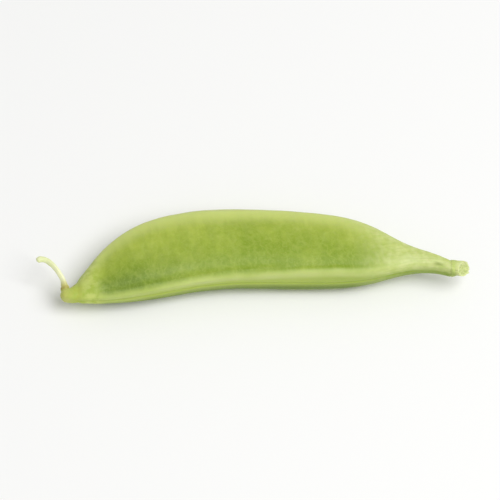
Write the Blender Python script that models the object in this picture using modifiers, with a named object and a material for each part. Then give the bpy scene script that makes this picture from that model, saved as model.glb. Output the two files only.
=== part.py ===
"""Snow pea pod, picked and lying on one side: the pod, the stub of its stem and its withered style.

Metres, +Z up. The pod runs along X, from the blossom tip at -X to the torn stem at +X. Its straighter seam
faces -Y, its bowed seam faces +Y, and it rests on the flat patch under its belly. The origin is the middle
of the whole object's box, on the surface that it rests on.
"""

import bmesh
import bpy
import numpy as np
from mathutils import Vector

MM = 0.001

# Driving dimensions, in millimetres.
LENGTH = 76.2  # blossom tip to the torn end of the stem
STUB_LENGTH = 2.6
GAP = 0.3  # between pieces that meet
POD_LENGTH = LENGTH - STUB_LENGTH - GAP
BELLY_FLAT = 0.35  # how much of the belly's curve the flat resting patch takes off
SMOOTHING = 2  # Subdivision Surface levels

# The pod's outline, seen on its broad side, and its thickness. Each station is its distance from the tip,
# the straight seam's Y, the bowed seam's Y, half the thickness, and how far its middle rises over the belly's.
STATIONS = (
    (0.0, -0.15, 1.35, 0.95, 0.0),
    (0.7, -0.65, 1.7, 1.2, 0.0),
    (2.0, -0.9, 1.8, 1.35, 0.0),
    (4.8, -1.0, 4.75, 2.0, 0.0),
    (8.8, -1.05, 10.05, 3.2, 0.0),
    (14.2, -0.85, 14.1, 4.1, 0.0),
    (21.2, 0.0, 16.25, 4.6, 0.0),
    (29.2, 0.95, 17.0, 4.75, 0.0),
    (38.7, 0.4, 16.25, 4.7, 0.0),
    (48.7, -0.7, 14.5, 4.4, 0.1),
    (55.7, -1.0, 13.0, 3.9, 0.2),
    (60.7, -0.2, 9.9, 3.2, 0.35),
    (65.2, 0.4, 5.7, 2.4, 0.6),
    (69.7, 0.0, 3.75, 1.8, 0.9),
    (POD_LENGTH - 0.5, -1.35, 1.8, 1.6, 1.1),
    (POD_LENGTH, -1.55, 1.3, 1.5, 1.15),
)
# One side of the section: across, from the bowed seam at 1 to the straight seam at -1, and height, in half
# thicknesses. The straight seam's side is blunt and the bowed one tapers.
SECTION = (
    (1.02, 0.0),
    (0.94, 0.36),
    (0.68, 0.74),
    (0.25, 0.97),
    (-0.25, 1.02),
    (-0.72, 1.0),
    (-0.98, 0.70),
    (-1.02, 0.0),
)

STUB_RADIUS = 1.45
STUB_FLARE = 1.55
# Where the style runs, from the tip's upper corner: X, Y and height over the tip's middle plane.
STYLE_ROUTE = (
    (1.05, 2.1, 0.1),
    (0.85, 3.1, 0.35),
    (0.5, 4.0, 0.6),
    (-0.4, 5.8, 1.15),
    (-1.35, 6.85, 1.6),
    (-2.35, 7.3, 2.0),
    (-3.3, 7.25, 2.25),
    (-3.95, 6.9, 2.3),
)
STYLE_THICKNESS = 1.0
STYLE_END_SHARE = 0.6  # the far end's thickness, as a share of the base's


def clear_scene():
    for obj in list(bpy.data.objects):
        bpy.data.objects.remove(obj)


def new_collection(name):
    collection = bpy.data.collections.new(name)
    bpy.context.scene.collection.children.link(collection)
    return collection


def material(name, colour, roughness):
    made = bpy.data.materials.new(name)
    made.use_nodes = True
    shader = made.node_tree.nodes["Principled BSDF"]
    shader.inputs["Base Color"].default_value = (*colour, 1.0)
    shader.inputs["Roughness"].default_value = roughness
    shader.inputs["Metallic"].default_value = 0.0
    return made


def add_object(name, data, collection, finish=None):
    obj = bpy.data.objects.new(name, data)
    collection.objects.link(obj)
    if finish:
        data.materials.append(finish)
    return obj


def belly_height():
    """Height of the body's middle plane, in millimetres, with the flat patch at Z = 0."""
    return max(half for _, _, _, half, _ in STATIONS) - BELLY_FLAT


def section_ring(along, straight, bowed, half, rise):
    """One ring of cage points round the pod, in metres."""
    middle, reach = (bowed + straight) / 2, (bowed - straight) / 2
    upper = list(SECTION)
    lower = [(across, -height) for across, height in reversed(SECTION[1:-1])]
    x = along - LENGTH / 2
    z = belly_height() + rise
    return [
        Vector((x, middle + reach * across, z + half * height)) * MM
        for across, height in upper + lower
    ]


def pod_cage():
    """The rings joined into a closed coarse mesh."""
    cage = bmesh.new()
    rings = [
        [cage.verts.new(point) for point in section_ring(*station)]
        for station in STATIONS
    ]
    count = len(rings[0])
    for ring, following in zip(rings, rings[1:]):
        for k in range(count):
            j = (k + 1) % count
            cage.faces.new((ring[k], ring[j], following[j], following[k]))
    cage.faces.new(rings[0])
    cage.faces.new(rings[-1])
    bmesh.ops.recalc_face_normals(cage, faces=cage.faces)
    mesh = bpy.data.meshes.new("pod")
    cage.to_mesh(mesh)
    cage.free()
    mesh.shade_smooth()
    return mesh


def add_pod(collection, cutter):
    """The pod: the cage smoothed, with its belly cut flat where it rests."""
    skin = material("pod_skin", (0.36, 0.47, 0.09), 0.45)
    pod = add_object("pod", pod_cage(), collection, skin)
    smooth = pod.modifiers.new("Smooth form", "SUBSURF")
    smooth.levels = smooth.render_levels = SMOOTHING
    cut = pod.modifiers.new("Flat belly", "BOOLEAN")
    cut.operation = "DIFFERENCE"
    cut.object = cutter
    return pod


def add_floor_cutter(cutters):
    """A slab with its top at Z = 0, which takes off what would be under the resting surface."""
    thickness = 10.0
    slab = bmesh.new()
    bmesh.ops.create_cube(slab, size=1.0)
    mesh = bpy.data.meshes.new("floor_cutter")
    slab.to_mesh(mesh)
    slab.free()
    cutter = add_object("floor_cutter", mesh, cutters)
    cutter.scale = Vector((2 * LENGTH, LENGTH, thickness)) * MM
    cutter.location = (0.0, 0.0, -thickness / 2 * MM)
    cutter.hide_render = True
    cutter.display_type = "WIRE"
    return cutter


def add_stem_stub(collection):
    """What is left of the stem: a short turned collar that flares to the torn end."""
    profile = (
        (0.0, STUB_RADIUS * 0.94),
        (0.25, STUB_RADIUS),
        (1.2, STUB_RADIUS * 0.97),
        (2.1, STUB_FLARE),
        (STUB_LENGTH - 0.2, STUB_FLARE),
        (STUB_LENGTH, STUB_FLARE * 0.85),
    )
    points = [(radius * MM, 0.0, along * MM) for along, radius in profile]
    points = [(0.0, 0.0, 0.0), *points, (0.0, 0.0, STUB_LENGTH * MM)]
    edges = [(k, k + 1) for k in range(len(points) - 1)]
    mesh = bpy.data.meshes.new("stem_stub")
    mesh.from_pydata(points, edges, [])
    stub = add_object("stem_stub", mesh, collection, material("stem_cut", (0.55, 0.60, 0.25), 0.7))
    turn = stub.modifiers.new("Turn", "SCREW")
    turn.axis = "Z"
    turn.steps = turn.render_steps = 24
    turn.use_merge_vertices = True
    turn.merge_threshold = 0.00001
    turn.use_normal_calculate = True
    _, straight, bowed, _, rise = STATIONS[-1]
    stub.rotation_euler = (0.0, np.pi / 2, 0.0)
    stub.location = Vector(
        (LENGTH / 2 - STUB_LENGTH, (straight + bowed) / 2, belly_height() + rise)
    ) * MM
    return stub


def smooth_route(points, steps):
    """A Catmull-Rom curve through the points, with `steps` points for each stretch."""
    ends = [2 * points[0] - points[1], *points, 2 * points[-1] - points[-2]]
    route = []
    for a, b, c, d in zip(ends, ends[1:], ends[2:], ends[3:]):
        for t in np.arange(steps) / steps:
            bend = (2 * a - 5 * b + 4 * c - d) * t**2 + (3 * b - a - 3 * c + d) * t**3
            route.append(b + ((c - a) * t + bend) / 2)
    return [*route, points[-1]]


def add_style(collection):
    """The withered style: a thin tapering thread that curls up from the blossom tip."""
    foot = Vector((-LENGTH / 2, 0.0, belly_height()))
    route = smooth_route([(foot + Vector(point)) * MM for point in STYLE_ROUTE], steps=3)
    curve = bpy.data.curves.new("style", "CURVE")
    curve.dimensions = "3D"
    curve.bevel_depth = STYLE_THICKNESS / 2 * MM
    curve.bevel_resolution = 2
    curve.use_fill_caps = True
    spline = curve.splines.new("POLY")
    spline.points.add(len(route) - 1)
    for k, (point, position) in enumerate(zip(spline.points, route)):
        point.co = (*position, 1.0)
        point.radius = 1.0 - (1.0 - STYLE_END_SHARE) * k / (len(route) - 1)
    return add_object("style", curve, collection, material("dry_style", (0.80, 0.80, 0.50), 0.65))


def centre_on_origin(pieces, cutter):
    """Moves the pieces so that the middle of their common box is over the origin."""
    graph = bpy.context.evaluated_depsgraph_get()
    corners = []
    for piece in pieces:
        done = piece.evaluated_get(graph)
        points = done.to_mesh().vertices
        corners += [done.matrix_world @ point.co for point in points]
        done.to_mesh_clear()
    corners = np.array(corners)
    middle = (corners.min(axis=0) + corners.max(axis=0)) / 2
    for piece in [*pieces, cutter]:
        piece.location -= Vector((middle[0], middle[1], 0.0))


def main():
    clear_scene()
    parts = new_collection("snow_pea_pod")
    cutters = new_collection("cutters")
    cutter = add_floor_cutter(cutters)
    pieces = [add_pod(parts, cutter), add_stem_stub(parts), add_style(parts)]
    centre_on_origin(pieces, cutter)


main()
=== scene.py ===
"""Looks of a snow pea pod that lies on its side: its skin, the torn stub of its stem, its withered style.

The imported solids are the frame. The skin grows out of the CAD pod: rings of points are read from the solid,
refined into a fine grid, and moved in or out by what a real pod has, such as its seams, the ridge beside the
straight seam, the sunken side panels, the young peas and the fibres of the neck. Shapes are worked out in
millimetres, and become metres when a mesh is made. Angles are in radians, but for the camera's.
"""

import bpy
import numpy as np
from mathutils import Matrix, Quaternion, Vector, noise
from mathutils.bvhtree import BVHTree


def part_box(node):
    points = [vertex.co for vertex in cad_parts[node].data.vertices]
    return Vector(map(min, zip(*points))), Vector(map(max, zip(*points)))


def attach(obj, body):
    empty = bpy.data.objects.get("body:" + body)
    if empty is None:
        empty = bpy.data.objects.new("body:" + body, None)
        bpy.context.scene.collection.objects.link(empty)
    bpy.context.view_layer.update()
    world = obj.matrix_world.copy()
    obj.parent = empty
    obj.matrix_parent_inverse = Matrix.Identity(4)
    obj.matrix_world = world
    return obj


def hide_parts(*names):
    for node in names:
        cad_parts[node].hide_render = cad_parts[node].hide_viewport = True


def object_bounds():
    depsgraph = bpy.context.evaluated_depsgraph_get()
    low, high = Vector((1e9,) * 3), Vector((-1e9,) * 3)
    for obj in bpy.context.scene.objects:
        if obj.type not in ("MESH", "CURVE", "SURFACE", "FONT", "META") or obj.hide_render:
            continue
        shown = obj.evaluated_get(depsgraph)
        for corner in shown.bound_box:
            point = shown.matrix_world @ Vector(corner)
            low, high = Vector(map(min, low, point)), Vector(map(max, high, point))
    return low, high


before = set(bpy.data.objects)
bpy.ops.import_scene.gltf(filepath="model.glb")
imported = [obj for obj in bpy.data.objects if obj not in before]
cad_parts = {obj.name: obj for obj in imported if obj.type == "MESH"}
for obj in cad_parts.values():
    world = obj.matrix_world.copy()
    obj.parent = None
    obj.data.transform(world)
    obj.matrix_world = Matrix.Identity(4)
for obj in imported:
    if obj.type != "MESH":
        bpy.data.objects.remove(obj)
CAD_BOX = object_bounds()

MM = 0.001


# ---------------------------------------------------------------------------------------------------------
# Shape functions
# ---------------------------------------------------------------------------------------------------------


def rise(low, high, value):
    """0 below low, 1 above high, and a smooth step between."""
    share = np.clip((value - low) / (high - low), 0.0, 1.0)
    return share * share * (3.0 - 2.0 * share)


def bell(offset, width):
    """1 where the offset is 0, falling smoothly away over about this width."""
    return np.exp(-((offset / width) ** 2))


def roughness(points, height, size, layer):
    """Smooth noise of about this height either way at each point, with lumps of about this size."""
    shift = Vector((37.0 * layer, -19.0 * layer, 53.0 * layer))
    flat = points.reshape(-1, 3) / size
    values = [noise.noise(Vector(point) + shift) for point in flat]
    return height * np.array(values).reshape(points.shape[:-1])


def grid_normals(points):
    """Outward unit normals of a closed grid of rings."""
    along = np.gradient(points, axis=0)
    around = np.roll(points, -1, axis=1) - np.roll(points, 1, axis=1)
    normals = np.cross(along, around)
    return normals / np.maximum(np.linalg.norm(normals, axis=2, keepdims=True), 1e-9)


def refine_rings(grid, times, closed):
    """Catmull-Rom points between neighbours along the first axis, `times` for each stretch."""
    if closed:
        before, after, far = np.roll(grid, 1, 0), np.roll(grid, -1, 0), np.roll(grid, -2, 0)
        here = grid
    else:
        ends = np.concatenate([2 * grid[:1] - grid[1:2], grid, 2 * grid[-1:] - grid[-2:-1]])
        before, here, after, far = ends[:-3], ends[1:-2], ends[2:-1], ends[3:]
    steps = []
    for t in np.arange(times) / times:
        curve = (2 * before - 5 * here + 4 * after - far) * t**2
        curve = curve + (3 * here - before - 3 * after + far) * t**3
        steps.append(here + ((after - before) * t + curve) / 2)
    fine = np.stack(steps, axis=1).reshape(-1, *grid.shape[1:])
    return fine if closed else np.concatenate([fine, grid[-1:]])


def grid_ends(points):
    """The middles of the first ring and the last one, where a grid's mesh closes."""
    return points[0].mean(axis=0), points[-1].mean(axis=0)


def grid_mesh(name, points, ends, fields):
    """A closed mesh of a grid of rings with a point at either end, and a value per vertex for each field."""
    rings, spokes = points.shape[:2]
    index = np.arange(rings * spokes).reshape(rings, spokes)
    turned = np.roll(index, -1, axis=1)
    quads = np.stack([index[:-1], index[1:], turned[1:], turned[:-1]], axis=-1).reshape(-1, 4)
    first, last = rings * spokes, rings * spokes + 1
    faces = quads.tolist()
    faces += [(first, a, b) for a, b in zip(index[0], turned[0])]
    faces += [(last, b, a) for a, b in zip(index[-1], turned[-1])]
    places = np.concatenate([points.reshape(-1, 3), np.array(ends)]) * MM
    mesh = bpy.data.meshes.new(name)
    mesh.from_pydata(places.tolist(), [], faces)
    mesh.shade_smooth()
    for field_name, values in fields.items():
        held = mesh.attributes.new(field_name, "FLOAT", "POINT")
        whole = np.concatenate([values.ravel(), [values[0].mean(), values[-1].mean()]])
        held.data.foreach_set("value", whole.astype(np.float32))
    return mesh


def add_piece(name, mesh, material, node):
    """Puts a finished mesh in the scene in place of a CAD node."""
    piece = bpy.data.objects.new(name, mesh)
    bpy.context.scene.collection.objects.link(piece)
    mesh.materials.append(material)
    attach(piece, "root")
    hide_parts(node)
    return piece


# ---------------------------------------------------------------------------------------------------------
# The skin's shape
# ---------------------------------------------------------------------------------------------------------

# The skin's grid. Rings are closer together at the two ends.
RINGS = 100
SPOKES = 56
REFINE = 4
END_CROWDING = 0.8  # 0 spaces the rings evenly, and near 1 crowds them at the ends
END_INSET = 0.03  # how far inside the solid's ends the first and last rings are
TIP_SLICE = 0.5  # how much of the solid's tip is read to find its middle

# Where the parts of the skin are: along, from the blossom tip, and around, from the straight seam.
PANEL_START = 6.7
PANEL_BOW = 0.4  # how much later it starts by the straight seam
PANEL_END = (-5.0, 4.0)  # how far past the shoulder it fades out
SHOULDER = 57.5
SHOULDER_SLANT = 2.5  # how much nearer the tip it is by the bowed seam
BEAK_FADE = 1.6  # how far either side of the panel's start the beak fades out
NECK_START = (-4.0, 8.0)  # how far past the shoulder the neck comes in
NECK_END = 73.3
LIPS_START = (1.5, 8.0)
LIPS_END = (58.0, 68.0)
# The lips of the side panel: how far along the pod, and how far round from the seam the lip is there.
RIDGE = (
    (0, 0.6), (9, 0.95), (18, 1.6), (25, 1.65), (31, 1.9),
    (36, 1.95), (44, 2.65), (51, 2.85), (57, 2.2), (73, 0.9),
)
RIM = ((0, 0.4), (9, 0.9), (14, 1.8), (22, 2.4), (31, 3.2), (42, 2.5), (58, 2.2), (66, 1.7), (73, 0.9))

PEAS = (14.2, 20.8, 27.6, 34.4, 41.1, 47.5, 53.2)
PEA_MIDDLE = 7.1  # from the straight seam
PEA_REACH = 2.9
PEA_SWELL = 0.13

# How high, deep and wide the parts of the relief are.
CORD_PLACE = 0.42  # the straight seam's two cords, either side of its groove
CORD_HEIGHT = 0.07
CORD_WIDTH = 0.26
GROOVE_DEPTH = 0.09
GROOVE_WIDTH = 0.18
KEEL_HEIGHT = 0.2
KEEL_WIDTH = 0.36
HOLLOW_PLACE = 0.85  # the hollows either side of the bowed seam's keel
HOLLOW_DEPTH = 0.07
HOLLOW_WIDTH = 0.3
RIDGE_HEIGHT = 0.28
RIDGE_WIDTH = 0.42
RIDGE_SOFTENING = 0.5  # how much wider it gets towards the stem
RIDGE_FLANK = 2.2  # how many times wider it is on its seam's side
RIM_HEIGHT = 0.08
RIM_WIDTH = 0.9
PANEL_DEPTH = 0.42
FIBRE_HEIGHT = 0.022
BELLY_EASE = 0.9  # how far over the floor the relief is whole
# Roughness: the height and the size of its lumps, and the layer of the noise.
BROAD_LUMPS = (0.10, 11.0, 1)
SMALL_LUMPS = (0.05, 4.0, 2)
DIMPLES = (0.02, 1.3, 3)
FINE_DIMPLES = (0.01, 0.6, 5)
BEAK_LUMPS = (0.06, 1.4, 4)

TIP_CREASE = 3.0
TIP_CREASE_DEPTH = 0.12
TIP_CREASE_WIDTH = 0.55
TIP_ROUNDING = 0.7  # how much of the tip's length is rounded
TIP_PROUD = 0.2  # how far the rounded tip passes the plain solid's flat one

# The values that the skin's mesh holds for its material.
SKIN_FIELDS = (
    "along", "from_straight", "from_bowed", "from_ridge", "from_rim", "reach", "beak", "neck", "upper",
)


def solid_tree(node):
    """The CAD node's faces, in millimetres, for rays to be cast at."""
    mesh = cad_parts[node].data
    return BVHTree.FromPolygons(
        [vertex.co / MM for vertex in mesh.vertices], [list(face.vertices) for face in mesh.polygons]
    )


def section_span(tree, middle, direction):
    """Where a line through the middle leaves the solid, both ways."""
    ahead = tree.ray_cast(middle, direction)[0]
    back = tree.ray_cast(middle, -direction)[0]
    return back, ahead


def read_ring(tree, middle):
    """Points round the pod's section at this X. The middle moves to the section's own middle.

    Spoke 0 points at the straight seam, and a quarter of the way round is the upper side's.
    """
    near, far = section_span(tree, middle, Vector((0, 1, 0)))
    middle.y = (near.y + far.y) / 2
    floor, top = section_span(tree, middle, Vector((0, 0, 1)))
    middle.z = (floor.z + top.z) / 2
    wide, thick = (far.y - near.y) / 2, (top.z - floor.z) / 2
    turns = 2 * np.pi * np.arange(SPOKES) / SPOKES
    spokes = [Vector((0, -wide * np.cos(t), thick * np.sin(t))).normalized() for t in turns]
    return [tree.ray_cast(middle, spoke)[0] for spoke in spokes]


def read_solid(tree, low, high):
    """Rings of points on the CAD pod, from the tip to the neck, as an array of rings by spokes by XYZ."""
    share = np.linspace(0.0, 1.0, RINGS)
    spread = share - END_CROWDING * np.sin(2 * np.pi * share) / (2 * np.pi)
    stations = low.x + END_INSET + (high.x - low.x - 2 * END_INSET) * spread
    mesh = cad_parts["pod"].data
    near_tip = [vertex.co / MM for vertex in mesh.vertices if vertex.co.x / MM < low.x + TIP_SLICE]
    middle = sum(near_tip, Vector()) / len(near_tip)
    rings = []
    for x in stations:
        middle.x = x
        rings.append(read_ring(tree, middle))
    return np.array(rings)


def soften(grid, passes):
    """Takes the CAD solid's facets out of the rings."""
    for _ in range(passes):
        around = (np.roll(grid, 1, 1) + 2 * grid + np.roll(grid, -1, 1)) / 4
        grid = around
        grid[1:-1] = (around[:-2] + 2 * around[1:-1] + around[2:]) / 4
    return grid


def measure_rings(points):
    """For each point: its way from the straight seam and from the bowed seam, round the nearer side."""
    steps = np.linalg.norm(np.roll(points, -1, axis=1) - points, axis=2)
    gone = np.cumsum(steps, axis=1) - steps
    whole = steps.sum(axis=1, keepdims=True)
    from_straight = np.minimum(gone, whole - gone)
    half = points.shape[1] // 2
    from_bowed = np.abs(gone - gone[:, half : half + 1])
    return from_straight, from_bowed


def skin_layout(points):
    """Natural coordinates and masks of the skin, each an array of rings by spokes."""
    along = points[..., 0] - points[..., 0].min()
    from_straight, from_bowed = measure_rings(points)
    from_ridge = from_straight - np.interp(along, *zip(*RIDGE))
    from_rim = from_bowed - np.interp(along, *zip(*RIM))
    reach = from_straight / np.maximum(from_straight + from_bowed, 1e-6)
    # The panel starts with a bowed edge at the beak and fades out over the neck's shoulder.
    past_beak = along - PANEL_START - PANEL_BOW * (1 - rise(0.15, 0.45, reach))
    past_shoulder = along - SHOULDER + SHOULDER_SLANT * reach
    beak = 1 - rise(-BEAK_FADE, BEAK_FADE, past_beak)
    opening = (1 - beak) * (1 - rise(*PANEL_END, past_shoulder))
    full_depth = 1.3 + 0.4 * rise(20, 50, along)  # how far past the ridge the panel is at its deepest
    return {
        "along": along,
        "from_straight": from_straight,
        "from_bowed": from_bowed,
        "from_ridge": from_ridge,
        "from_rim": from_rim,
        "reach": reach,
        "panel": opening * rise(0.45, full_depth, from_ridge) * rise(0.0, 3.0, from_rim),
        "body": rise(*LIPS_START, along) * (1 - rise(*LIPS_END, along)),
        "beak": beak,
        "neck": rise(*NECK_START, past_shoulder),
        "upper": (points[..., 2] > points[..., 2].mean(axis=1, keepdims=True)).astype(float),
    }


def pea_swelling(at):
    """Low domes over the young peas, which hang from the straight seam and differ a little in size."""
    swelling = np.zeros_like(at["along"])
    for k, place in enumerate(PEAS):
        size = PEA_REACH * (0.85 + 0.15 * np.sin(2.1 * k))
        away = np.hypot(at["along"] - place, (at["from_straight"] - PEA_MIDDLE) * 0.9)
        swelling += bell(away, size) * (0.75 + 0.25 * np.cos(1.7 * k))
    return PEA_SWELL * swelling * at["panel"]


def seam_relief(at):
    """The straight seam's two cords with the groove between them, and the bowed seam's keel."""
    live = rise(0.8, 4.5, at["along"]) * (1 - 0.7 * rise(63.0, 71.0, at["along"]))
    cords = CORD_HEIGHT * bell(at["from_straight"] - CORD_PLACE, CORD_WIDTH)
    cords = cords - GROOVE_DEPTH * bell(at["from_straight"], GROOVE_WIDTH)
    keel = KEEL_HEIGHT * bell(at["from_bowed"], KEEL_WIDTH)
    keel = keel - HOLLOW_DEPTH * bell(at["from_bowed"] - HOLLOW_PLACE, HOLLOW_WIDTH)
    return live * (cords + keel)


def lip_relief(at):
    """The lips round the side panel. The straight seam's is crisp by the tip and soft by the stem."""
    width = RIDGE_WIDTH + RIDGE_SOFTENING * rise(20.0, 55.0, at["along"])
    width = np.where(at["from_ridge"] < 0, RIDGE_FLANK * width, width)
    ridge = RIDGE_HEIGHT * bell(at["from_ridge"], width)
    rim = RIM_HEIGHT * bell(at["from_rim"], RIM_WIDTH)
    return at["body"] * (ridge + rim)


def fibre_relief(at):
    """Fine lengthways ribs that come up towards the neck's end."""
    turn = 4 * np.arctan2(at["from_straight"], at["from_bowed"])
    ribs = np.sin(7.0 * turn + 2.0 * np.sin(0.4 * at["along"])) + 0.5 * np.sin(15.0 * turn)
    return FIBRE_HEIGHT * rise(63.0, 70.0, at["along"]) * ribs


def beak_relief(points, at):
    """The beak's lumps, and the shallow crease behind the tip."""
    crease = TIP_CREASE_DEPTH * bell(at["along"] - TIP_CREASE, TIP_CREASE_WIDTH)
    return at["beak"] * roughness(points, *BEAK_LUMPS) - crease


def skin_relief(points, at):
    """How far each point of the skin stands out from the CAD solid, in millimetres."""
    relief = lip_relief(at) - PANEL_DEPTH * at["panel"] + seam_relief(at) + pea_swelling(at)
    lumps = roughness(points, *BROAD_LUMPS) + roughness(points, *SMALL_LUMPS)
    dimples = roughness(points * (0.8, 1.0, 1.0), *DIMPLES) + roughness(points, *FINE_DIMPLES)
    # There is none at the two ends, where the style and the stub meet the skin.
    ends = rise(0.0, 1.2, at["along"]) * (1 - rise(72.4, NECK_END, at["along"]))
    return ends * (relief + fibre_relief(at) + lumps + dimples + beak_relief(points, at))


def round_tip(points, along):
    """Rings near the tip made the size that turns its nearly flat end into a rounded one."""
    share = np.clip(along[:, 0] / TIP_ROUNDING, 0.0, 1.0)
    middles = points.mean(axis=1, keepdims=True)
    spokes = points - middles
    size = np.linalg.norm(spokes, axis=2).mean(axis=1)
    behind = (along[:, 0] > TIP_ROUNDING) & (along[:, 0] < 2 * TIP_ROUNDING)
    trend = np.polyval(np.polyfit(along[behind, 0], size[behind], 1), along[:, 0])
    wanted = trend * np.sqrt(np.maximum(share * (2.0 - share), 0.002))
    rounded = middles + spokes * np.where(share < 1.0, wanted / size, 1.0)[:, None, None]
    rounded[..., 0] = points[..., 0] - TIP_PROUD * (1.0 - share)[:, None]
    return rounded


def add_skin():
    """The pod's skin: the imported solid's form with its relief on it."""
    low, high = (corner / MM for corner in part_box("pod"))
    coarse = soften(read_solid(solid_tree("pod"), low, high), passes=2)
    rings = refine_rings(coarse, REFINE, closed=False)
    points = refine_rings(rings.transpose(1, 0, 2), REFINE, closed=True).transpose(1, 0, 2)
    at = skin_layout(points)
    lifted = rise(0.0, BELLY_EASE, points[..., 2])  # the belly's resting patch stays on the surface
    points = points + grid_normals(points) * (skin_relief(points, at) * lifted)[..., None]
    points[..., 2] = np.maximum(points[..., 2], 0.0)
    points = round_tip(points, at["along"])
    ends = grid_ends(points)
    ends[1][0] = high.x
    mesh = grid_mesh("skin", points, ends, {name: at[name] for name in SKIN_FIELDS})
    return add_piece("skin", mesh, skin_material(), "pod")


# ---------------------------------------------------------------------------------------------------------
# Shader graphs
# ---------------------------------------------------------------------------------------------------------


def colour(red, green, blue):
    """An opaque colour."""
    return (red, green, blue, 1.0)


def new_material(name):
    """A new material and its node tree."""
    made = bpy.data.materials.new(name)
    made.use_nodes = True
    return made, made.node_tree


def set_inputs(node, inputs):
    """Sets a node's inputs. Each is a number, a colour or another node's output socket."""
    for name, value in inputs.items():
        if isinstance(value, bpy.types.NodeSocket):
            node.id_data.links.new(value, node.inputs[name])
        else:
            node.inputs[name].default_value = value


def new_node(tree, kind, inputs, **settings):
    """A node with these inputs and settings."""
    made = tree.nodes.new("ShaderNode" + kind)
    for name, value in settings.items():
        setattr(made, name, value)
    set_inputs(made, inputs)
    return made


def field(tree, name):
    """The value that the mesh holds for this field."""
    return new_node(tree, "Attribute", {}, attribute_name=name).outputs["Fac"]


def object_place(tree):
    """The place on the piece, in metres."""
    return new_node(tree, "TexCoord", {}).outputs["Object"]


def maths(tree, operation, first, second=0.0):
    """One step of arithmetic. Each value is a number or an output socket."""
    return new_node(tree, "Math", {0: first, 1: second}, operation=operation).outputs[0]


def product(tree, *shares):
    """The shares multiplied together."""
    result = shares[0]
    for share in shares[1:]:
        result = maths(tree, "MULTIPLY", result, share)
    return result


def mapped(tree, value, span, onto=(0.0, 1.0)):
    """The value eased from the range `span` onto the range `onto`."""
    inputs = {"Value": value, "From Min": span[0], "From Max": span[1], "To Min": onto[0], "To Max": onto[1]}
    return new_node(tree, "MapRange", inputs, interpolation_type="SMOOTHSTEP").outputs["Result"]


def band(tree, value, middle, width):
    """1 where the value is at the middle, easing to 0 at this distance either side."""
    away = maths(tree, "ABSOLUTE", maths(tree, "SUBTRACT", value, middle))
    return mapped(tree, away, (0.0, width), (1.0, 0.0))


def mix(tree, share, first, second):
    """Two colours mixed, with this share of the second."""
    return new_node(tree, "Mix", {0: share, 6: first, 7: second}, data_type="RGBA").outputs[2]


def lumps(tree, place, scale, detail=3.0, rough=0.5):
    """Noise round 0.5, with this many lumps to each unit of the place."""
    inputs = {"Vector": place, "Scale": scale, "Detail": detail, "Roughness": rough}
    return new_node(tree, "TexNoise", inputs).outputs["Fac"]


def stretched(tree, place, turn, scale):
    """A place scaled along each axis, and then turned about Z."""
    inputs = {"Vector": place, "Rotation": (0.0, 0.0, turn), "Scale": scale}
    return new_node(tree, "Mapping", inputs).outputs[0]


def wobbled(tree, place, scale, amount):
    """A place pushed about by soft noise."""
    push = new_node(tree, "TexNoise", {"Vector": place, "Scale": scale, "Detail": 2.0}).outputs["Color"]
    push = new_node(tree, "VectorMath", {0: push, 1: (0.5, 0.5, 0.5)}, operation="SUBTRACT").outputs[0]
    inputs = {0: push, 1: (amount, amount, amount), 2: place}
    return new_node(tree, "VectorMath", inputs, operation="MULTIPLY_ADD").outputs[0]


def vein_net(tree, place, turn, scale, line):
    """1 on the lines between the cells of a net, and 0 inside them."""
    inputs = {"Vector": stretched(tree, place, turn, scale), "Scale": 1.0}
    cells = new_node(tree, "TexVoronoi", inputs, feature="DISTANCE_TO_EDGE").outputs["Distance"]
    return mapped(tree, cells, (0.0, line), (1.0, 0.0))


def finish_material(tree, inputs, height, height_mm, strength):
    """Sets the material's Principled shader, with a bump of this height."""
    bump = new_node(tree, "Bump", {"Height": height, "Distance": height_mm * MM, "Strength": strength})
    set_inputs(tree.nodes["Principled BSDF"], {**inputs, "Normal": bump.outputs["Normal"]})


# ---------------------------------------------------------------------------------------------------------
# The skin's look
# ---------------------------------------------------------------------------------------------------------

PANEL_DEEP = colour(0.225, 0.330, 0.016)
PANEL_LIGHT = colour(0.430, 0.520, 0.068)
# Painted shade for the panel's sunken low corner near the tip.
PANEL_CORNER_SHADE = colour(0.110, 0.195, 0.009)
PANEL_STRIPE = colour(0.210, 0.310, 0.014)
COARSE_VEIN = colour(0.46, 0.56, 0.10)
FINE_VEIN = colour(0.42, 0.53, 0.09)
# The side by the straight seam: partly its own paler green and partly painted light. It is deeper towards the
# neck, as painted shadow.
SIDE_BY_TIP_LIT = colour(0.45, 0.56, 0.095)
SIDE_BY_NECK_SHADED = colour(0.37, 0.48, 0.075)
# Painted shadow under the straight seam.
UNDER_SEAM_SHADOW = colour(0.11, 0.185, 0.009)
# Painted whitish highlight along the top of the ridge.
RIDGE_CREST_HIGHLIGHT = colour(0.56, 0.64, 0.22)
# The rim and keel by the bowed seam: partly their own pale colour and partly painted sheen.
RIM_PALE_AND_SHEEN = colour(0.62, 0.70, 0.21)
KEEL_PALE_AND_SHEEN = colour(0.60, 0.66, 0.22)
BESIDE_KEEL = colour(0.26, 0.36, 0.03)
BEAK_DEEP = colour(0.41, 0.52, 0.07)
BEAK_PALE = colour(0.58, 0.66, 0.17)
STALE_YELLOW = colour(0.40, 0.47, 0.045)
WITHERED_TAN = colour(0.56, 0.54, 0.13)
NECK_DEEP = colour(0.50, 0.59, 0.16)
NECK_PALE = colour(0.63, 0.69, 0.27)
# Painted highlight over the shoulder and along the top of the neck.
SHOULDER_HIGHLIGHT = colour(0.74, 0.79, 0.42)
FIBRE_GREEN = colour(0.30, 0.42, 0.045)
# Painted shadow on the low side of the neck and stub.
LOW_SIDE_SHADOW = colour(0.20, 0.31, 0.010)
STAIN_OLIVE = colour(0.20, 0.26, 0.02)
PORE_PALE = colour(0.50, 0.58, 0.16)
BLOOM_PALE = colour(0.50, 0.57, 0.20)

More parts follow.
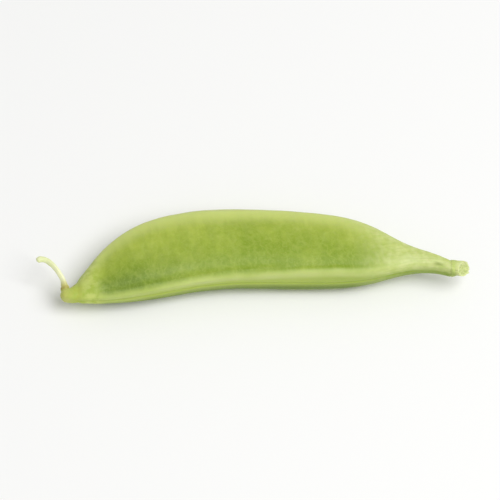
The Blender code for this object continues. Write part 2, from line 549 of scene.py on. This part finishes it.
# Noise in the materials: how many lumps there are to a metre.
PATCHES = 170.0
BLOOM = 420.0
SPECKS = 800.0
MOTTLES = 900.0
PORES = 3200.0

# The nets of veins: their turn, their cells to a millimetre along and round the pod, and their lines' width.
COARSE_VEINS = (0.35, (0.42, 0.2, 1.0), 0.14)
FINE_VEINS = (-0.25, (1.1, 0.6, 1.0), 0.2)
SIDE_SHIFT = 40.0  # sets the upper side's pattern apart from the lower side's

# Marks on the skin, in millimetres: where the middle is, and how far it reaches either side.
# The painted shadow under the straight seam:
SEAM_SHADOW = (-1.9, 2.1)  # round from the straight seam, on the lower side
KEEL_LINE = (0.75, 0.35)  # round from the bowed seam
STALE_ALONG = (2.6, 2.2)
# The painted highlight over the shoulder:
HIGHLIGHT_ALONG = (67.0, 8.0)
HIGHLIGHT_AROUND = (1.3, 2.0)  # from the ridge
STAIN_ALONG = (70.4, 1.5)
STAIN_AROUND = (1.9, 0.6)  # from the straight seam


def skin_place(tree):
    """The skin laid out flat, in millimetres: along the pod, round it from the straight seam, and side."""
    side = maths(tree, "MULTIPLY", field(tree, "upper"), SIDE_SHIFT)
    inputs = {"X": field(tree, "along"), "Y": field(tree, "from_straight"), "Z": side}
    return new_node(tree, "CombineXYZ", inputs).outputs[0]


def above_seam(tree):
    """The way round from the straight seam, which is negative on the lower side."""
    upward = maths(tree, "SUBTRACT", maths(tree, "MULTIPLY", field(tree, "upper"), 2.0), 1.0)
    return maths(tree, "MULTIPLY", field(tree, "from_straight"), upward)


def panel_green(tree, flat, solid):
    """The panel's green: deep low down and lighter towards the bowed seam and the stem, with painted shade in
    its low corner near the tip.
    """
    along, reach = field(tree, "along"), field(tree, "reach")
    up = mapped(tree, reach, (0.3, 0.9), (0.15, 0.95))
    by_stem = product(
        tree,
        mapped(tree, reach, (0.25, 0.6), (0.0, 0.3)),
        mapped(tree, along, (30.0, 60.0)),
    )
    by_tip = mapped(tree, along, (22.0, 36.0), (0.28, 0.0))
    patches = mapped(tree, lumps(tree, solid, PATCHES), (0.3, 0.7), (-0.22, 0.22))
    specks = mapped(tree, lumps(tree, solid, SPECKS, rough=0.7), (0.32, 0.68), (-0.1, 0.1))
    uneven = maths(tree, "ADD", patches, specks)
    light = maths(tree, "ADD", maths(tree, "ADD", up, by_stem), maths(tree, "ADD", by_tip, uneven))
    light = new_node(tree, "Clamp", {"Value": light}).outputs[0]
    green = mix(tree, light, PANEL_DEEP, PANEL_LIGHT)
    # Painted shade in the panel's low corner near the tip, where it sinks below the beak and the ridge.
    corner = product(
        tree,
        mapped(tree, reach, (0.2, 0.5), (0.85, 0.0)),
        mapped(tree, along, (7.0, 36.0), (1.0, 0.0)),
    )
    green = mix(tree, corner, green, PANEL_CORNER_SHADE)
    # Faint stripes across the pod, from the straight seam to the bowed one.
    stripes = lumps(tree, stretched(tree, flat, 0.2, (0.75, 0.16, 1.0)), 1.0)
    return mix(tree, mapped(tree, stripes, (0.4, 0.62), (0.0, 0.26)), green, PANEL_STRIPE)


def add_veins(tree, skin, coarse, fine):
    """Pale veins on the skin, coarse ones and fine ones."""
    skin = mix(tree, product(tree, coarse, 0.15), skin, COARSE_VEIN)
    return mix(tree, product(tree, fine, 0.10), skin, FINE_VEIN)


def add_ridge(tree, skin, patches):
    """The paler side that faces the straight seam, which is partly its own green and partly painted light,
    and a painted whitish highlight along the top of the ridge above it.
    """
    along, from_ridge = field(tree, "along"), field(tree, "from_ridge")
    side = mapped(tree, from_ridge, (-0.4, 1.3), (1.0, 0.0))
    # Paler near the tip, which is partly painted light where the side faces away from the lamp. Deeper
    # towards the neck, which is painted shadow.
    green = mix(tree, mapped(tree, along, (40.0, 58.0)), SIDE_BY_TIP_LIT, SIDE_BY_NECK_SHADED)
    skin = mix(tree, product(tree, side, 0.9), skin, green)
    # Painted highlight: whitish along the top of the ridge, broken up by the patches.
    crest = product(
        tree,
        mapped(tree, from_ridge, (-1.5, -0.3)),
        mapped(tree, from_ridge, (0.1, 1.1), (1.0, 0.0)),
        patches,
        mapped(tree, along, (12.0, 22.0), (0.6, 1.0)),
        0.8,
    )
    return mix(tree, crest, skin, RIDGE_CREST_HIGHLIGHT)


def add_rim(tree, skin):
    """The pale rim by the bowed seam and the pale keel, partly their own colour and partly painted sheen,
    with a deeper line on either side of the keel.
    """
    from_bowed, from_rim = field(tree, "from_bowed"), field(tree, "from_rim")
    # Pale rim, partly its own colour and partly painted sheen where the skin turns away from the light.
    rim = product(
        tree,
        mapped(tree, from_rim, (-0.2, 5.0), (0.92, 0.0)),
        mapped(tree, from_rim, (-1.8, -0.3), (0.4, 1.0)),
    )
    skin = mix(tree, rim, skin, RIM_PALE_AND_SHEEN)
    # Pale keel, partly its own colour and partly painted sheen.
    skin = mix(tree, mapped(tree, from_bowed, (0.12, 0.5), (0.6, 0.0)), skin, KEEL_PALE_AND_SHEEN)
    return mix(tree, product(tree, band(tree, from_bowed, *KEEL_LINE), 0.35), skin, BESIDE_KEEL)


def add_seam_shadow(tree, skin):
    """Painted shadow on the lower side: a deeper green under the straight seam, deepest just under it."""
    return mix(tree, product(tree, band(tree, above_seam(tree), *SEAM_SHADOW), 0.92), skin, UNDER_SEAM_SHADOW)


def add_beak(tree, skin, mottles):
    """The mottled beak, which is yellower behind its tip, and tan where the style withered."""
    along = field(tree, "along")
    beak = mix(tree, mapped(tree, mottles, (0.33, 0.66)), BEAK_DEEP, BEAK_PALE)
    skin = mix(tree, product(tree, field(tree, "beak"), 0.85), skin, beak)
    stale = product(
        tree,
        band(tree, along, *STALE_ALONG),
        mapped(tree, mottles, (0.42, 0.58), (0.25, 0.8)),
    )
    skin = mix(tree, stale, skin, STALE_YELLOW)
    return mix(tree, mapped(tree, along, (0.2, 2.4), (0.6, 0.0)), skin, WITHERED_TAN)


def add_neck(tree, skin, patches, mottles):
    """The pale neck, and a painted whitish highlight over the shoulder and along the top of the neck."""
    neck = mix(tree, mapped(tree, mottles, (0.3, 0.7)), NECK_DEEP, NECK_PALE)
    skin = mix(tree, product(tree, field(tree, "neck"), 0.85), skin, neck)
    # Painted whitish highlight over the shoulder, broken up by the patches.
    painted_highlight = product(
        tree,
        band(tree, field(tree, "from_ridge"), *HIGHLIGHT_AROUND),
        band(tree, field(tree, "along"), *HIGHLIGHT_ALONG),
        patches,
        0.55,
    )
    return mix(tree, painted_highlight, skin, SHOULDER_HIGHLIGHT)


def add_neck_marks(tree, skin, flat):
    """The neck's long fibres, painted shadow on its low side, and a small olive stain near its end."""
    streaks = lumps(tree, stretched(tree, flat, 0.0, (0.22, 2.6, 1.0)), 1.0, detail=4.0)
    fibres = product(tree, mapped(tree, streaks, (0.42, 0.68)), field(tree, "neck"), 0.22)
    skin = mix(tree, fibres, skin, FIBRE_GREEN)
    # Painted shadow on the neck's low side, near the straight seam.
    low_side_shadow = product(
        tree,
        mapped(tree, above_seam(tree), (-0.6, 1.3), (0.85, 0.0)),
        mapped(tree, above_seam(tree), (-7.0, -3.0)),
        field(tree, "neck"),
    )
    skin = mix(tree, low_side_shadow, skin, LOW_SIDE_SHADOW)
    stain = product(
        tree,
        band(tree, field(tree, "along"), *STAIN_ALONG),
        band(tree, field(tree, "from_straight"), *STAIN_AROUND),
        field(tree, "upper"),
        0.7,
    )
    return mix(tree, stain, skin, STAIN_OLIVE)


def skin_material():
    """Waxy green skin: deeper in the panels, paler on seams, ridge, beak and neck, with faint veins. Its
    colour also holds painted highlights on the ridge and shoulder, painted sheen on the rim and keel, and
    painted shade and shadow low down.
    """
    made, tree = new_material("pod_skin_look")
    flat = skin_place(tree)
    solid = object_place(tree)
    loose = wobbled(tree, flat, 0.5, 1.6)
    coarse = vein_net(tree, loose, *COARSE_VEINS)
    fine = vein_net(tree, loose, *FINE_VEINS)
    pores = lumps(tree, solid, PORES, detail=2.0)
    bloom = lumps(tree, solid, BLOOM, detail=6.0, rough=0.65)
    mottles = lumps(tree, solid, MOTTLES)
    patches = mapped(tree, lumps(tree, solid, PATCHES), (0.3, 0.65), (0.55, 1.0))

    skin = panel_green(tree, flat, solid)
    skin = add_veins(tree, skin, coarse, fine)
    skin = add_ridge(tree, skin, patches)
    skin = add_rim(tree, skin)
    skin = add_seam_shadow(tree, skin)
    skin = add_beak(tree, skin, mottles)
    skin = add_neck(tree, skin, patches, mottles)
    skin = add_neck_marks(tree, skin, flat)
    skin = mix(tree, mapped(tree, pores, (0.52, 0.7), (0.0, 0.11)), skin, PORE_PALE)
    skin = mix(tree, mapped(tree, bloom, (0.45, 0.75), (0.0, 0.12)), skin, BLOOM_PALE)

    inputs = {
        "Base Color": skin,
        "Roughness": mapped(tree, bloom, (0.35, 0.7), (0.46, 0.62)),
        "Subsurface Weight": 0.2,
        "Subsurface Radius": (0.5 * MM, 0.8 * MM, 0.2 * MM),
        "Subsurface Scale": 1.0,
        "Specular IOR Level": 0.35,
        "Sheen Weight": 0.03,
        "Sheen Roughness": 0.5,
        "Coat Weight": 0.04,
        "Coat Roughness": 0.35,
    }
    height = maths(tree, "ADD", product(tree, coarse, 0.5), product(tree, pores, 0.9))
    finish_material(tree, inputs, height, height_mm=0.04, strength=0.35)
    return made


# ---------------------------------------------------------------------------------------------------------
# The stem stub
# ---------------------------------------------------------------------------------------------------------

STUB_RINGS = 84
STUB_WALL_RINGS = 50  # the rest of the rings cover the torn face
STUB_BURIED = 1.0  # how far the stub's foot runs into the neck
STUB_LAP = 0.035  # how far it stands out from the neck where it takes over
STUB_FOOT = 0.2  # how much narrower its buried foot is
STUB_FREE = (0.2, 0.6)  # where it turns from the neck's outline to its own, as shares of its length
STUB_RADIUS = 1.4
STUB_EDGE = 0.08  # how far it draws in at its torn end
STUB_DROOP = 0.45
STUB_PROUD = 0.6  # how far the ragged end passes the plain solid's
NECK_READ = 0.3  # how far inside the neck's end its outline is read

# The torn face slopes back by its depth, away from its foremost point, which is this way across and upward.
TORN_FRONT = (0.64, -0.77)
TORN_DEPTH = 2.7
TORN_START = 0.05
TORN_CURVE = 1.1
TORN_DISH = 0.35
TORN_RADIUS = 1.5  # the face's radius where its noise is read
# Roughness: the height and the size of its lumps, and the layer of the noise.
TORN_TEETH = (0.3, 0.6, 6)
TORN_SPLINTERS = (0.12, 0.22, 12)
TORN_LUMPS = (0.14, 0.35, 8)
STUB_GRAIN = (0.04, 0.5, 7)

STUB_DEEP = colour(0.50, 0.59, 0.16)
STUB_PALE = colour(0.62, 0.68, 0.26)
STUB_DRY = colour(0.62, 0.68, 0.27)
PITH_DEEP = colour(0.42, 0.50, 0.15)
PITH_PALE = colour(0.59, 0.65, 0.27)
TORN_CREAM = colour(0.68, 0.74, 0.35)
TORN_BROWN = colour(0.36, 0.29, 0.08)
STUB_FIBRES = 2600.0  # lumps to a metre


def torn_cut(across, upward):
    """How far the torn face falls short of the stub's end: it slopes back, up and to the straight seam."""
    lean = TORN_FRONT[0] * across + TORN_FRONT[1] * upward
    return TORN_START + TORN_DEPTH * np.clip((1 - lean) / 2, 0.0, 1.0) ** TORN_CURVE


def torn_face(end, across, upward, inward):
    """The torn face's X round each ring: sloped, ragged at its rim and dished in its middle."""
    face_y, face_z = inward * across, inward * upward
    flat = np.stack([face_y, face_z, 0.0 * face_y], axis=-1) * TORN_RADIUS
    ragged = (roughness(flat, *TORN_TEETH) + roughness(flat, *TORN_SPLINTERS)) * inward**3
    dish = TORN_DISH * (1 - inward**2) + roughness(flat, *TORN_LUMPS) * (1 - inward**6)
    return end - torn_cut(face_y, face_z) + ragged - dish


def neck_ring():
    """The neck's outline where the stub takes over: Y and Z round it, and its middle."""
    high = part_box("pod")[1] / MM
    stub_low, stub_high = (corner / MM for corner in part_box("stem_stub"))
    middle = (stub_low + stub_high) / 2
    middle.x = high.x - NECK_READ
    ring = np.array(read_ring(solid_tree("pod"), middle))
    ring = refine_rings(ring, 2, closed=True)
    return ring[:, 1:], np.array(middle)[1:]


def stub_radius(neck_reach, turn, share):
    """The stub's radius: the neck's at its foot, and then its own, with low ribs."""
    free = rise(*STUB_FREE, share)
    ribs = 0.03 * np.sin(9 * turn + 1.5) + 0.02 * np.sin(17 * turn)
    foot = STUB_LAP - STUB_FOOT * (1 - rise(0.0, 0.2, share))
    edge = STUB_EDGE * rise(0.93, 1.0, share)
    return (neck_reach + foot) * (1 - free) + (STUB_RADIUS + ribs) * free - edge


def add_stem_stub():
    """The stub of the stem: a ribbed wall that grows out of the neck, and its ragged torn face."""
    low, high = (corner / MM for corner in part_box("stem_stub"))
    start, end = low.x - STUB_BURIED, high.x + STUB_PROUD
    neck, middle = neck_ring()
    spoke = neck - middle
    reach = np.linalg.norm(spoke, axis=1)
    across, upward = (spoke / reach[:, None]).T
    turn = np.arctan2(upward, across)
    # The wall's rings come first, and then the torn face's, which shrink to its middle.
    face_rings = STUB_RINGS - STUB_WALL_RINGS
    share = np.concatenate([np.linspace(0, 1, STUB_WALL_RINGS), np.ones(face_rings)])[:, None]
    inward = np.concatenate([np.ones(STUB_WALL_RINGS), np.linspace(1, 0.03, face_rings + 1)[1:]])[:, None]
    radius = stub_radius(reach, turn, share) * inward
    x = start + (torn_face(end, across, upward, inward) - start) * share
    y = middle[0] + radius * across - STUB_DROOP * share**2
    z = middle[1] + radius * upward
    points = np.stack([x, y, z], axis=-1)
    grain = roughness(points * (0.5, 1.0, 1.0), *STUB_GRAIN) * rise(*STUB_FREE, share)
    points = points + grid_normals(points) * grain[..., None]
    points[..., 0] = np.minimum(points[..., 0], end)
    fields = {
        "along": share + 0.0 * turn,
        "inward": inward + 0.0 * turn,
        "from_seam": STUB_RADIUS * (np.pi - np.abs(turn)) + 0.0 * share,
    }
    mesh = grid_mesh("stem_end", points, grid_ends(points), fields)
    return add_piece("stem_end", mesh, stem_material(), "stem_stub")


def stem_material():
    """The neck's pale green, with fibres and painted shadow on its low side, drying to cream at the torn edge
    round a greener pith.
    """
    made, tree = new_material("stem_cut_look")
    solid = object_place(tree)
    fibres = lumps(tree, stretched(tree, solid, 0.0, (0.2, 1.0, 1.0)), STUB_FIBRES, detail=4.0)
    stains = lumps(tree, solid, MOTTLES)
    along, inward = field(tree, "along"), field(tree, "inward")

    wall = mix(tree, mapped(tree, stains, (0.3, 0.7)), STUB_DEEP, STUB_PALE)
    wall = mix(tree, mapped(tree, fibres, (0.42, 0.68), (0.0, 0.4)), wall, FIBRE_GREEN)
    # Painted shadow on the stub's low side near the straight seam, as on the neck.
    low_side_shadow = mapped(tree, field(tree, "from_seam"), (-0.3, 1.6), (0.75, 0.0))
    wall = mix(tree, low_side_shadow, wall, LOW_SIDE_SHADOW)
    dried = maths(tree, "ADD", along, product(tree, fibres, 0.24))
    wall = mix(tree, mapped(tree, dried, (0.5, 1.0)), wall, STUB_DRY)

    pith = mix(tree, mapped(tree, fibres, (0.35, 0.65)), PITH_DEEP, PITH_PALE)
    body = mix(tree, mapped(tree, inward, (0.72, 0.95), (1.0, 0.0)), wall, pith)
    edge = product(tree, band(tree, inward, 0.93, 0.16), mapped(tree, along, (0.93, 1.0)), 0.8)
    body = mix(tree, edge, body, TORN_CREAM)
    body = mix(tree, mapped(tree, stains, (0.58, 0.74), (0.0, 0.3)), body, TORN_BROWN)
    inputs = {
        "Base Color": body,
        "Roughness": mapped(tree, fibres, (0.3, 0.7), (0.45, 0.7)),
        "Subsurface Weight": 0.2,
        "Subsurface Radius": (0.5 * MM, 0.6 * MM, 0.2 * MM),
        "Subsurface Scale": 1.0,
    }
    finish_material(tree, inputs, fibres, height_mm=0.08, strength=0.7)
    return made


# ---------------------------------------------------------------------------------------------------------
# The style
# ---------------------------------------------------------------------------------------------------------

# Its middle line, as shares of the CAD style's box less these insets, from inside the tip to its far end.
STYLE_ROUTE = (
    (0.98, -0.19, -0.12),
    (0.96, 0.0, 0.0),
    (0.93, 0.19, 0.11),
    (0.88, 0.37, 0.23),
    (0.68, 0.71, 0.48),
    (0.48, 0.91, 0.68),
    (0.29, 1.0, 0.86),
    (0.13, 0.99, 0.98),
    (0.0, 0.92, 1.0),
)
STYLE_INSET_LOW = (0.16, 0.15, 0.49)
STYLE_INSET_HIGH = (0.49, 0.36, 0.29)
STYLE_STEPS = 22
STYLE_SPOKES = 48

# Half its width and thickness, and what is added to them or taken off. Places are shares of its length.
STYLE_WIDE = 0.52
STYLE_THIN = 0.38
STYLE_TAPER = 0.04
STYLE_FLARE = 0.34
STYLE_FLARE_END = (0.05, 0.28)
STYLE_RING = 0.115  # where the ring is, at which it withered from the tip
STYLE_RING_SWELL = 0.06
STYLE_PINCH = 0.05  # behind the ring
STYLE_KNOB = 0.05
STYLE_KNOB_PLACE = 0.93
STYLE_GROOVE = 0.05
STYLE_GROOVE_TURN = 0.4
# Roughness: the height and the size of its lumps, and the layer of the noise.
STYLE_WRINKLES = (0.045, 0.55, 9)
STYLE_FINE_WRINKLES = (0.02, 0.22, 11)

STYLE_CREAM = colour(0.92, 0.94, 0.62)
STYLE_CREAM_DEEP = colour(0.84, 0.86, 0.50)
STYLE_YELLOW = colour(0.62, 0.60, 0.20)
STYLE_YELLOW_DEEP = colour(0.50, 0.46, 0.12)
STYLE_FOOT = colour(0.47, 0.53, 0.10)
STYLE_RING_TAN = colour(0.38, 0.33, 0.065)
STYLE_FAR_END = colour(0.68, 0.74, 0.37)
STYLE_STREAKS = 1500.0  # lumps to a metre


def style_line():
    """The style's middle line, and how far along it each point is, as a share of the whole."""
    low, high = (np.array(corner / MM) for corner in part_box("style"))
    low, high = low + STYLE_INSET_LOW, high - STYLE_INSET_HIGH
    route = np.array([low + (high - low) * share for share in STYLE_ROUTE])
    line = refine_rings(route, STYLE_STEPS, closed=False)
    gone = np.linalg.norm(np.diff(line, axis=0, prepend=line[:1]), axis=1).cumsum()
    return line, gone / gone[-1]


def style_closing(gone):
    """1 along the style, and nearly 0 at its rounded far end."""
    return np.sqrt(np.clip(1 - rise(0.955, 1.0, gone) ** 2, 0.02, 1))


def style_section(gone, turns):
    """The style's outline at each place along it, sideways and upward, turned as it twists."""
    flare = STYLE_FLARE * (1 - rise(*STYLE_FLARE_END, gone))
    foot = flare + STYLE_RING_SWELL * bell(gone - STYLE_RING, 0.02)
    pinch = STYLE_PINCH * bell(gone - STYLE_RING - 0.04, 0.02)
    wide = STYLE_WIDE + foot - pinch + STYLE_KNOB * bell(gone - STYLE_KNOB_PLACE, 0.06)
    thin = STYLE_THIN - STYLE_TAPER * gone + foot - pinch
    across = (wide * style_closing(gone))[:, None] * np.cos(turns)
    through = (thin * style_closing(gone))[:, None] * np.sin(turns)
    twist = 0.3 + 0.6 * np.sin(np.pi * gone)
    c, s = np.cos(twist)[:, None], np.sin(twist)[:, None]
    return across * c - through * s, across * s + through * c


def add_style():
    """The style: a wrinkled, twisted thread with a groove along it."""
    line, gone = style_line()
    forward = np.gradient(line, axis=0)
    forward /= np.linalg.norm(forward, axis=1, keepdims=True)
    side = np.cross(forward, (0.0, 0.0, 1.0))
    side /= np.linalg.norm(side, axis=1, keepdims=True)
    upward = np.cross(side, forward)
    turns = 2 * np.pi * np.arange(STYLE_SPOKES) / STYLE_SPOKES
    sideways, up = style_section(gone, turns)
    points = line[:, None] + sideways[..., None] * side[:, None] + up[..., None] * upward[:, None]
    from_groove = turns - STYLE_GROOVE_TURN
    groove = STYLE_GROOVE * bell(np.sin(from_groove), 0.3) * (np.cos(from_groove) > 0)
    wrinkles = roughness(points, *STYLE_WRINKLES) + roughness(points, *STYLE_FINE_WRINKLES) - groove[None]
    points = points + grid_normals(points) * (wrinkles * style_closing(gone)[:, None])[..., None]
    share = np.repeat(gone[:, None], STYLE_SPOKES, axis=1)
    mesh = grid_mesh("withered_style", points, grid_ends(points), {"along": share})
    return add_piece("withered_style", mesh, style_material(), "style")


def style_material():
    """Cream, dried thread: yellow by its foot, with a tan ring where it meets the tip."""
    made, tree = new_material("dry_style_look")
    streaks = lumps(tree, object_place(tree), STYLE_STREAKS, detail=4.0)
    wander = product(tree, maths(tree, "SUBTRACT", streaks, 0.5), 0.05)
    along = maths(tree, "ADD", field(tree, "along"), wander)
    cream = mix(tree, streaks, STYLE_CREAM, STYLE_CREAM_DEEP)
    yellow = mix(tree, streaks, STYLE_YELLOW, STYLE_YELLOW_DEEP)
    body = mix(tree, mapped(tree, along, (STYLE_RING, 0.32), (1.0, 0.0)), cream, yellow)
    foot = mapped(tree, along, (STYLE_RING - 0.06, STYLE_RING - 0.02), (1.0, 0.0))
    body = mix(tree, foot, body, STYLE_FOOT)
    ring = band(tree, along, STYLE_RING - 0.02, 0.045)
    body = mix(tree, product(tree, ring, 0.85), body, STYLE_RING_TAN)
    body = mix(tree, mapped(tree, along, (0.4, 0.75), (0.0, 0.7)), body, STYLE_FAR_END)
    inputs = {
        "Base Color": body,
        "Roughness": mapped(tree, streaks, (0.3, 0.7), (0.42, 0.62)),
        "Subsurface Weight": 0.25,
        "Subsurface Radius": (0.4 * MM, 0.4 * MM, 0.2 * MM),
        "Subsurface Scale": 1.0,
    }
    finish_material(tree, inputs, streaks, height_mm=0.06, strength=0.6)
    return made


# ---------------------------------------------------------------------------------------------------------
# Floor, light and camera
# ---------------------------------------------------------------------------------------------------------

FLOOR_REACH = 3.0  # metres, each way from the pod
PAPER_WHITE = colour(0.90, 0.90, 0.89)
SKY_WHITE = colour(1.0, 1.0, 1.0)
SKY_STRENGTH = 0.44
# The soft box: its place and its side in metres, and its power in watts.
KEY_PLACE = (0.38, -0.26, 0.87)
KEY_SIDE = 0.8
KEY_POWER = 8.3

# The photograph's viewing angle in degrees, and the camera's distance and sensor in millimetres.
CAMERA_AZIMUTH = -15.4
CAMERA_ELEVATION = 57.3
CAMERA_ROLL = 9.2
CAMERA_DISTANCE = 500.0
SENSOR = 36.0
FRAME_SHARE = 0.86  # of the picture's width that the pod fills


def add_floor():
    """A plain sheet of pale paper."""
    side = FLOOR_REACH
    mesh = bpy.data.meshes.new("floor")
    corners = [(-side, -side, 0.0), (side, -side, 0.0), (side, side, 0.0), (-side, side, 0.0)]
    mesh.from_pydata(corners, [], [(0, 1, 2, 3)])
    floor = bpy.data.objects.new("floor", mesh)
    bpy.context.scene.collection.objects.link(floor)
    paper, tree = new_material("floor_paper")
    inputs = {"Base Color": PAPER_WHITE, "Roughness": 0.9, "Specular IOR Level": 0.1}
    set_inputs(tree.nodes["Principled BSDF"], inputs)
    mesh.materials.append(paper)


def add_light():
    """Even light from all round, and a soft box that faces the pod."""
    world = bpy.data.worlds.new("studio")
    world.use_nodes = True
    set_inputs(world.node_tree.nodes["Background"], {"Color": SKY_WHITE, "Strength": SKY_STRENGTH})
    bpy.context.scene.world = world
    light = bpy.data.lights.new("key", "AREA")
    light.shape = "SQUARE"
    light.size = KEY_SIDE
    light.energy = KEY_POWER
    lamp = bpy.data.objects.new("key", light)
    lamp.location = KEY_PLACE
    lamp.rotation_euler = (-Vector(KEY_PLACE)).to_track_quat("-Z", "Y").to_euler()
    bpy.context.scene.collection.objects.link(lamp)


def add_camera():
    """The camera looks down on the pod's broad side, from nearer to its tip than to its stem."""
    low, high = (corner / MM for corner in CAD_BOX)
    azimuth, elevation = np.radians(CAMERA_AZIMUTH), np.radians(CAMERA_ELEVATION)
    back = Vector((
        np.sin(azimuth) * np.cos(elevation), -np.cos(azimuth) * np.cos(elevation), np.sin(elevation)
    ))
    lens = bpy.data.cameras.new("camera")
    lens.sensor_width = SENSOR
    lens.lens = SENSOR * CAMERA_DISTANCE * FRAME_SHARE / (high.x - low.x)
    camera = bpy.data.objects.new("camera", lens)
    target = (low + high) / 2
    camera.location = (target + back * CAMERA_DISTANCE) * MM
    level = (-back).to_track_quat("-Z", "Y")
    camera.rotation_euler = (level @ Quaternion((0, 0, 1), np.radians(CAMERA_ROLL))).to_euler()
    bpy.context.scene.collection.objects.link(camera)
    bpy.context.scene.camera = camera
    bpy.context.scene.view_settings.view_transform = "Standard"


add_camera()
add_skin()
add_stem_stub()
add_style()
add_floor()
add_light()
